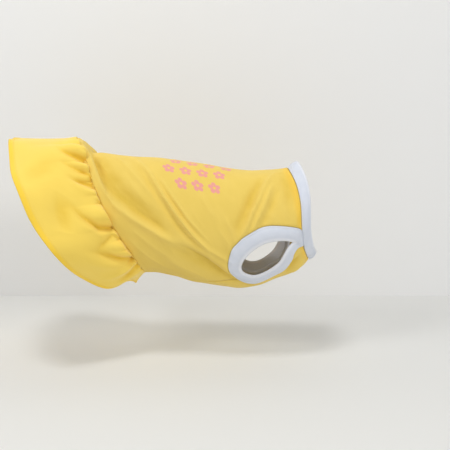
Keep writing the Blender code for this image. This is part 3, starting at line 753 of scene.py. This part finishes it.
def chest_step(across, around):
    """At the chest the band's right end crosses over its left end, with a mitred edge."""
    past = wrap(around - 1.0) * HALF_TURN
    edge = (across - 0.5) * NECK_BINDING_WIDTH * 0.9
    over = 1 - smooth_step((past + edge) / 0.0012 + 0.5)
    near = np.exp(-((past / 0.016) ** 2))
    return CHEST_OVERLAP * over * near * smooth_step((0.016 + past) / 0.008)


def make_neck_binding(material):
    around = np.linspace(-1.0, 1.0, NECK_STEPS, endpoint=False)
    rows = []
    pattern = []
    for across, height in band_profile():
        along = np.full(NECK_STEPS, 1.0 + across * NECK_BINDING_WIDTH / BACK_LENGTH)
        outer = height > PANEL_WALL / 2
        lift = np.full(NECK_STEPS, height) + (chest_step(across, around) if outer else 0.0)
        rows.append(bodice_point(along, around, lift))
        pattern.append(np.stack((np.full(NECK_STEPS, across * NECK_BINDING_WIDTH), around * HALF_TURN), axis=-1))
    piece = make_ring("neck_band", rows, False, [material], pattern)
    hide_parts("neck_binding")
    return piece


def armhole_rows():
    """The binding's seam edge and rim on the left side of the pattern."""
    outline = armhole_outline()
    fine = OUTLINE_STEPS // 4
    inner = relaxed(outline + inward(outline, 4 * fine) * ARMHOLE_BINDING_WIDTH, 12 * fine * fine)
    return outline, inner


def make_armhole_binding(name, node, side, material):
    outline, inner = armhole_rows()
    run = np.concatenate(([0.0], np.cumsum(np.linalg.norm(np.diff(outline, axis=0), axis=1))))
    rows = []
    pattern = []
    for across, height in band_profile():
        flat = outline * (1 - across) + inner * across
        rows.append(bodice_point(flat[:, 0] / BACK_LENGTH, side * flat[:, 1] / HALF_TURN, np.full(len(flat), height)))
        pattern.append(np.stack((np.full(len(flat), across * ARMHOLE_BINDING_WIDTH), run), axis=-1))
    piece = make_ring(name, rows, side > 0, [material], pattern)
    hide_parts(node)
    return piece


def make_skirt(materials):
    around = np.linspace(-1.0, 1.0, SKIRT_STEPS_AROUND, endpoint=False)
    downs = np.linspace(0.0, 1.0, SKIRT_STEPS_DOWN + 1) ** 1.15
    rows = []
    pattern = []
    fold = []
    hem = []
    for inside in (False, True):
        for down in downs[::-1] if inside else downs:
            downs_here = np.full_like(around, down)
            if inside:
                height = np.full_like(around, -hem_rise(down) * 0.4)
            else:
                height = np.full_like(around, SKIRT_WALL + hem_rise(down))
            rows.append(skirt_point(around, downs_here, height))
            pattern.append(np.stack((around * HALF_TURN * (1 + 0.5 * down), downs_here * SKIRT_LENGTH), axis=-1))
            # Crease depths, which the skirt jersey reads for its painted shade in the hollows
            fold.append(-skirt_dent(around, downs_here) * 1000)
            # Distance from the hem, which the skirt jersey reads for its painted glow along the hem
            hem.append((1 - downs_here) * SKIRT_LENGTH)
    piece = make_ring("skirt_cloth", rows, True, materials, pattern, {"fold": fold, "hem": hem})
    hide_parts("skirt")
    return piece


def make_allowance(name, rows, flipped, material):
    """The seam allowance inside a seam: a thin flat ring, from its rows of points on both faces."""
    count = len(rows[0])
    run = np.linspace(0.0, 2 * HALF_TURN, count, endpoint=False)
    pattern = [np.stack((np.full(count, 0.002 * i), run), axis=-1) for i in range(len(rows))]
    piece = make_ring(name, rows, flipped, [material], pattern)
    return piece


def make_all_allowances(jersey_cloth, rib):
    around = np.linspace(-1.0, 1.0, NECK_STEPS, endpoint=False)
    section = ((-0.0030, -0.0005), (0.0060, -0.0005), (0.0060, -0.0013), (-0.0030, -0.0013))
    for name, edge, material, slot in (
        ("waist_allowance", 0.0, jersey_cloth, "skirt_jersey"),
        ("neck_allowance", 1.0, rib, "rib"),
    ):
        rows = []
        for ahead, height in section:
            past = -ahead if edge else ahead
            along = np.full(len(around), edge + past / BACK_LENGTH)
            rows.append(bodice_point(along, around, np.full(len(around), height)))
        make_allowance(name, rows, bool(not edge), material)
    outline, _ = armhole_rows()
    inner_way = inward(outline, OUTLINE_STEPS)
    for name, side in (("left_armhole_allowance", 1), ("right_armhole_allowance", -1)):
        rows = []
        for inside, height in ((-0.0040, -0.0005), (0.0030, -0.0005), (0.0030, -0.0013), (-0.0040, -0.0013)):
            flat = outline + inner_way * inside
            rows.append(bodice_point(flat[:, 0] / BACK_LENGTH, side * flat[:, 1] / HALF_TURN, np.full(len(flat), height)))
        make_allowance(name, rows, side > 0, rib)


def make_stitches(name, centres, normals, material):
    """A row of stitches along a closed line, each a short round bar that lies on the cloth."""
    steps = np.linalg.norm(np.roll(centres, -1, axis=0) - centres, axis=1)
    run = np.concatenate(([0.0], np.cumsum(steps)))
    count = int(run[-1] / STITCH_PITCH)
    looped = np.concatenate((centres, centres[:1]))
    looped_normals = np.concatenate((normals, normals[:1]))
    ring = [(math.cos(a), math.sin(a)) for a in np.arange(5) * 2 * math.pi / 5]
    shares = ((-0.5, 0.35), (-0.32, 0.95), (0.0, 1.15), (0.32, 0.95), (0.5, 0.35))
    points = []
    faces = []
    for i in range(count):
        at = (i + 0.5) * run[-1] / count
        middle = np.array([np.interp(at, run, looped[:, k]) for k in range(3)])
        ahead = unit(
            np.array([np.interp((at + STITCH_LENGTH / 2) % run[-1], run, looped[:, k]) for k in range(3)])
            - np.array([np.interp((at - STITCH_LENGTH / 2) % run[-1], run, looped[:, k]) for k in range(3)])
        )
        up = unit(np.array([np.interp(at, run, looped_normals[:, k]) for k in range(3)]))
        across = np.cross(ahead, up)
        first = len(points)
        for share, fat in shares:
            sunk = STITCH_RADIUS * (fat - 0.9)
            for c, s in ring:
                radius = STITCH_RADIUS * fat
                points.append(middle + ahead * share * STITCH_LENGTH + up * (sunk + radius * s) + across * radius * c)
        for j in range(len(shares) - 1):
            for k in range(5):
                n = (k + 1) % 5
                faces.append((first + j * 5 + k, first + j * 5 + n, first + j * 5 + 5 + n, first + j * 5 + 5 + k))
        faces.append(tuple(first + k for k in reversed(range(5))))
        faces.append(tuple(first + 20 + k for k in range(5)))
    piece = make_piece(name, points, faces, [material])
    return piece


def make_all_stitches(white, yellow):
    around = np.linspace(-1.0, 1.0, 432, endpoint=False)
    high = (PANEL_WALL + BINDING_WALL) / 2
    along = np.full(len(around), 1.0 + BINDING_STITCH_PLACE * NECK_BINDING_WIDTH / BACK_LENGTH)
    centres = bodice_point(along, around, np.full(len(around), high - 0.0002))
    make_stitches("neck_stitches", centres, bodice_normal(along, around), white)
    outline, inner = armhole_rows()
    flat = outline * (1 - BINDING_STITCH_PLACE) + inner * BINDING_STITCH_PLACE
    for name, side in (("left_armhole_stitches", 1), ("right_armhole_stitches", -1)):
        along = flat[:, 0] / BACK_LENGTH
        turn = side * flat[:, 1] / HALF_TURN
        centres = bodice_point(along, turn, np.full(len(flat), high - 0.0002))
        make_stitches(name, centres, bodice_normal(along, turn), white)
    down = np.full(len(around), 1 - HEM_FOLD / SKIRT_LENGTH)
    centres = skirt_point(around, down, np.full(len(around), SKIRT_WALL - 0.0001))
    make_stitches("hem_stitches", centres, skirt_normal(around, down), yellow)


class Nodes:
    """Builds a material's node tree with short calls."""

    def __init__(self, name):
        self.material = bpy.data.materials.new(name)
        self.material.use_nodes = True
        self.tree = self.material.node_tree
        self.shader = self.tree.nodes["Principled BSDF"]

    def add(self, kind, **settings):
        node = self.tree.nodes.new(kind)
        for key, value in settings.items():
            setattr(node, key, value)
        return node

    def plug(self, value, socket):
        if isinstance(value, (int, float, tuple)):
            socket.default_value = value
        else:
            self.tree.links.new(value, socket)

    def calc(self, operation, *values):
        node = self.add("ShaderNodeMath", operation=operation)
        for value, socket in zip(values, node.inputs):
            self.plug(value, socket)
        return node.outputs[0]

    def number(self, name):
        return self.add("ShaderNodeAttribute", attribute_name=name).outputs["Fac"]

    def mix(self, share, first, second):
        node = self.add("ShaderNodeMix", data_type="RGBA")
        self.plug(share, node.inputs["Factor"])
        colours = [socket for socket in node.inputs if socket.type == "RGBA"]
        self.plug(first, colours[0])
        self.plug(second, colours[1])
        return next(socket for socket in node.outputs if socket.type == "RGBA")

    def step(self, value, low, high):
        """0 below low and 1 above high, smooth between; the other way round where high is below low."""
        node = self.add("ShaderNodeMapRange", interpolation_type="SMOOTHSTEP")
        flip = high < low
        self.plug(value, node.inputs["Value"])
        node.inputs["From Min"].default_value = min(low, high)
        node.inputs["From Max"].default_value = max(low, high)
        node.inputs["To Min"].default_value = 1.0 if flip else 0.0
        node.inputs["To Max"].default_value = 0.0 if flip else 1.0
        return node.outputs["Result"]

    def noise(self, vector, scale, detail=2.0):
        node = self.add("ShaderNodeTexNoise")
        self.tree.links.new(vector, node.inputs["Vector"])
        node.inputs["Scale"].default_value = scale
        node.inputs["Detail"].default_value = detail
        return node.outputs["Fac"]

    def bump(self, height, distance, strength, under=None):
        node = self.add("ShaderNodeBump")
        node.inputs["Distance"].default_value = distance
        node.inputs["Strength"].default_value = strength
        self.tree.links.new(height, node.inputs["Height"])
        if under is not None:
            self.tree.links.new(under, node.inputs["Normal"])
        return node.outputs["Normal"]

    def pattern(self):
        """Places on the pattern, in metres, along and around."""
        node = self.add("ShaderNodeUVMap", uv_map="pattern")
        apart = self.add("ShaderNodeSeparateXYZ")
        self.tree.links.new(node.outputs["UV"], apart.inputs["Vector"])
        return node.outputs["UV"], apart.outputs["X"], apart.outputs["Y"]


def rgba(colour):
    return (*colour, 1.0)


def knit_height(nodes, u, v, wale, course):
    """Height of a jersey's face: columns of V stitches, wale apart, with a stitch every course."""
    column = nodes.calc("PINGPONG", nodes.calc("DIVIDE", v, wale), 0.5)
    rows = nodes.calc("ADD", nodes.calc("DIVIDE", u, course), nodes.calc("MULTIPLY", column, 1.1))
    stitch = nodes.calc("SINE", nodes.calc("MULTIPLY", rows, 2 * math.pi))
    ridge = nodes.calc("SINE", nodes.calc("MULTIPLY", column, 2 * math.pi))
    return nodes.calc("ADD", nodes.calc("MULTIPLY", ridge, 0.6), nodes.calc("MULTIPLY", stitch, 0.4))


def flower_mask(nodes, u, v):
    """Rows of five-petalled flowers, inside an oval on the back."""
    pitch = 0.0205
    row = nodes.calc("FLOOR", nodes.calc("DIVIDE", v, pitch))
    odd = nodes.calc("MODULO", nodes.calc("ABSOLUTE", row), 2.0)
    shifted = nodes.calc("ADD", nodes.calc("DIVIDE", u, pitch), nodes.calc("MULTIPLY", odd, 0.5))
    column = nodes.calc("FLOOR", shifted)
    x = nodes.calc("SUBTRACT", nodes.calc("SUBTRACT", nodes.calc("DIVIDE", v, pitch), row), 0.5)
    y = nodes.calc("SUBTRACT", nodes.calc("SUBTRACT", shifted, column), 0.5)
    turn = nodes.calc("ARCTAN2", y, x)
    petal = nodes.calc("ABSOLUTE", nodes.calc("COSINE", nodes.calc("MULTIPLY", turn, 2.5)))
    rim = nodes.calc("ADD", nodes.calc("MULTIPLY", nodes.calc("SQRT", petal), 0.20), 0.17)
    reach = nodes.calc("SQRT", nodes.calc("ADD", nodes.calc("MULTIPLY", x, x), nodes.calc("MULTIPLY", y, y)))
    flower = nodes.step(nodes.calc("SUBTRACT", reach, rim), 0.012, -0.012)
    middle = nodes.step(reach, 0.075, 0.10)
    flower = nodes.calc("MULTIPLY", flower, middle)
    centre_u = nodes.calc("MULTIPLY", nodes.calc("SUBTRACT", nodes.calc("ADD", column, 0.5),
                                                 nodes.calc("MULTIPLY", odd, 0.5)), pitch)
    centre_v = nodes.calc("MULTIPLY", nodes.calc("ADD", row, 0.5), pitch)
    far_u = nodes.calc("DIVIDE", nodes.calc("SUBTRACT", centre_u, 0.150), 0.043)
    far_v = nodes.calc("DIVIDE", centre_v, 0.068)
    far = nodes.calc("ADD", nodes.calc("MULTIPLY", far_u, far_u), nodes.calc("MULTIPLY", far_v, far_v))
    held = nodes.calc("LESS_THAN", far, 1.0)
    return nodes.calc("MULTIPLY", flower, held)


def jersey(name, face, shade_colour, shade_heights, print_and_neck_shade, sheen, hem=False):
    """Cotton jersey: painted shade makes it deeper and warmer in the hollows of its folds; faintly uneven, with a
    knitted face.
    """
    nodes = Nodes(name)
    uv, u, v = nodes.pattern()
    shader = nodes.shader
    # Painted shade: the colour turns deeper and warmer as the fold height drops into a hollow
    shade_share = nodes.step(nodes.number("fold"), *shade_heights)
    mottle = nodes.step(nodes.noise(uv, 60.0, 3.0), 0.3, 0.75)
    colour = nodes.mix(nodes.calc("MULTIPLY", shade_share, 0.70), rgba(face), rgba(shade_colour))
    paler = tuple(min(1.0, c * 1.03 + 0.01) for c in face)
    colour = nodes.mix(nodes.calc("MULTIPLY", mottle, 0.35), colour, rgba(paler))
    # Painted fold shade: a band of deeper orange on the bodice face along the neck binding
    if print_and_neck_shade:
        edge = nodes.step(u, BACK_LENGTH - NECK_SHADE_WIDTH, BACK_LENGTH - NECK_SHADE_WIDTH / 3)
        colour = nodes.mix(nodes.calc("MULTIPLY", edge, 0.7), colour, rgba(NECK_FOLD_SHADE))
    # Painted glow: a saturated stripe along the folded hem, for light shining through the cloth there
    if hem:
        hem_glow = nodes.step(nodes.number("hem"), HEM_FOLD * 1.3, HEM_FOLD * 0.5)
        colour = nodes.mix(nodes.calc("MULTIPLY", hem_glow, 0.8), colour, rgba(HEM_PAINTED_GLOW))
    if print_and_neck_shade:
        worn = nodes.step(nodes.noise(uv, 900.0, 3.0), 0.20, 0.45)
        mask = nodes.calc("MULTIPLY", flower_mask(nodes, u, v), nodes.calc("MULTIPLY", worn, 0.88))
        colour = nodes.mix(mask, colour, rgba(PRINT))
    nodes.tree.links.new(colour, shader.inputs["Base Color"])
    shader.inputs["Roughness"].default_value = 0.88
    shader.inputs["Specular IOR Level"].default_value = 0.22
    shader.inputs["Sheen Weight"].default_value = sheen
    shader.inputs["Sheen Tint"].default_value = rgba(SHEEN)
    shader.inputs["Sheen Roughness"].default_value = 0.5
    fuzz = nodes.bump(nodes.noise(uv, 1500.0, 3.0), 0.0002, 0.25)
    knit = nodes.bump(knit_height(nodes, u, v, 0.0011, 0.0009), 0.00010, 0.35, fuzz)
    nodes.tree.links.new(knit, shader.inputs["Normal"])
    return nodes.material


def rib_cloth(name, colour, shade_colour):
    """Rib knit: fine cords across the band, cool white, with painted shade on its body and a painted highlight along
    its rolled rim.
    """
    nodes = Nodes(name)
    uv, u, v = nodes.pattern()
    shader = nodes.shader
    mottle = nodes.step(nodes.noise(uv, 90.0, 3.0), 0.3, 0.75)
    # Painted shade over the band's body, with its rolled rim left lighter as a painted highlight
    rim = nodes.step(u, ARMHOLE_BINDING_WIDTH * 0.70, ARMHOLE_BINDING_WIDTH * 0.88)
    body = nodes.mix(rim, rgba(shade_colour), rgba(colour))
    tinted = nodes.mix(nodes.calc("MULTIPLY", mottle, 0.4), body, rgba(tuple((c + d) / 2 for c, d in zip(colour, shade_colour))))
    nodes.tree.links.new(tinted, shader.inputs["Base Color"])
    shader.inputs["Roughness"].default_value = 0.85
    shader.inputs["Specular IOR Level"].default_value = 0.25
    shader.inputs["Sheen Weight"].default_value = 0.15
    shader.inputs["Sheen Roughness"].default_value = 0.4
    cords = nodes.calc("SINE", nodes.calc("MULTIPLY", v, 2 * math.pi / 0.0014))
    fuzz = nodes.bump(nodes.noise(uv, 1500.0, 3.0), 0.0002, 0.25)
    ribs = nodes.bump(cords, 0.00018, 0.5, fuzz)
    nodes.tree.links.new(ribs, shader.inputs["Normal"])
    return nodes.material


def thread(name, colour):
    """Twisted sewing thread."""
    nodes = Nodes(name)
    shader = nodes.shader
    place = nodes.add("ShaderNodeTexCoord").outputs["Object"]
    shade = nodes.step(nodes.noise(place, 1200.0, 2.0), 0.3, 0.7)
    darker = tuple(c * 0.9 for c in colour)
    nodes.tree.links.new(nodes.mix(shade, rgba(colour), rgba(darker)), shader.inputs["Base Color"])
    shader.inputs["Roughness"].default_value = 0.6
    shader.inputs["Sheen Weight"].default_value = 0.1
    return nodes.material


def plain(name, colour):
    nodes = Nodes(name)
    nodes.shader.inputs["Base Color"].default_value = rgba(colour)
    nodes.shader.inputs["Roughness"].default_value = 0.9
    nodes.shader.inputs["Specular IOR Level"].default_value = 0.1
    return nodes.material


def make_plane(name, corners, material):
    mesh = bpy.data.meshes.new(name)
    mesh.from_pydata(corners, [], [(0, 1, 2, 3)])
    mesh.materials.append(material)
    plane = bpy.data.objects.new(name, mesh)
    bpy.context.scene.collection.objects.link(plane)


def make_stage():
    floor_z = -0.232
    wall_y = 0.274
    make_plane("floor", ((-6, -6, floor_z), (6, -6, floor_z), (6, wall_y, floor_z), (-6, wall_y, floor_z)),
               plain("floor", FLOOR))
    make_plane("wall", ((-6, wall_y, floor_z), (6, wall_y, floor_z), (6, wall_y, 6), (-6, wall_y, 6)),
               plain("wall", WALL))


def make_light(name, place, aim, size, power, colour=(1.0, 1.0, 1.0)):
    data = bpy.data.lights.new(name, "AREA")
    data.size = size
    data.energy = power
    data.color = colour
    light = bpy.data.objects.new(name, data)
    light.location = place
    light.rotation_euler = (Vector(aim) - Vector(place)).to_track_quat("-Z", "Y").to_euler()
    bpy.context.scene.collection.objects.link(light)


def make_lights():
    scene = bpy.context.scene
    world = bpy.data.worlds.new("studio")
    scene.world = world
    world.use_nodes = True
    world.node_tree.nodes["Background"].inputs["Color"].default_value = (1.0, 1.0, 1.0, 1.0)
    world.node_tree.nodes["Background"].inputs["Strength"].default_value = 0.44
    make_light("top", (-0.30, -0.50, 1.40), (-0.1, 0.0, -0.05), 0.3, 7.0)
    make_light("left", (-1.00, -0.80, 0.95), (-0.25, 0.0, 0.0), 0.4, 5.2)
    make_light("right", (0.95, -1.05, 0.45), (-0.05, 0.0, -0.05), 0.25, 4.7)
    scene.view_settings.view_transform = "Standard"
    scene.view_settings.look = "None"


def make_camera():
    data = bpy.data.cameras.new("camera")
    data.lens = 64.0
    data.sensor_width = 36.0
    data.clip_start = 0.05
    data.clip_end = 50.0
    camera = bpy.data.objects.new("camera", data)
    target = Vector((-0.025, 0.0, -0.067))
    elevation = math.radians(10.0)
    camera.location = target + Vector((0.0, -math.cos(elevation), math.sin(elevation)))
    camera.rotation_euler = (target - camera.location).to_track_quat("-Z", "Y").to_euler()
    bpy.context.scene.collection.objects.link(camera)
    bpy.context.scene.camera = camera


def main():
    make_camera()
    print_and_neck_shade = jersey("bodice_jersey_face", JERSEY, JERSEY_SHADED, BODICE_SHADE_HEIGHTS, True, BODICE_SHEEN)
    unprinted = jersey("bodice_jersey_back", JERSEY, JERSEY_SHADED, BODICE_SHADE_HEIGHTS, False, BODICE_SHEEN)
    skirt_cloth = jersey("skirt_jersey", LIT_SKIRT_JERSEY, SKIRT_SHADED, SKIRT_SHADE_HEIGHTS, False, SKIRT_SHEEN, hem=True)
    rib = rib_cloth("rib", RIB, RIB_SHADED)
    make_panels([print_and_neck_shade, unprinted])
    make_neck_binding(rib)
    make_armhole_binding("left_armhole_band", "left_armhole_binding", 1, rib)
    make_armhole_binding("right_armhole_band", "right_armhole_binding", -1, rib)
    make_skirt([skirt_cloth])
    make_all_allowances(unprinted, rib)
    make_all_stitches(thread("white_thread", RIB), thread("yellow_thread", LIT_SKIRT_JERSEY))
    make_stage()
    make_lights()


main()
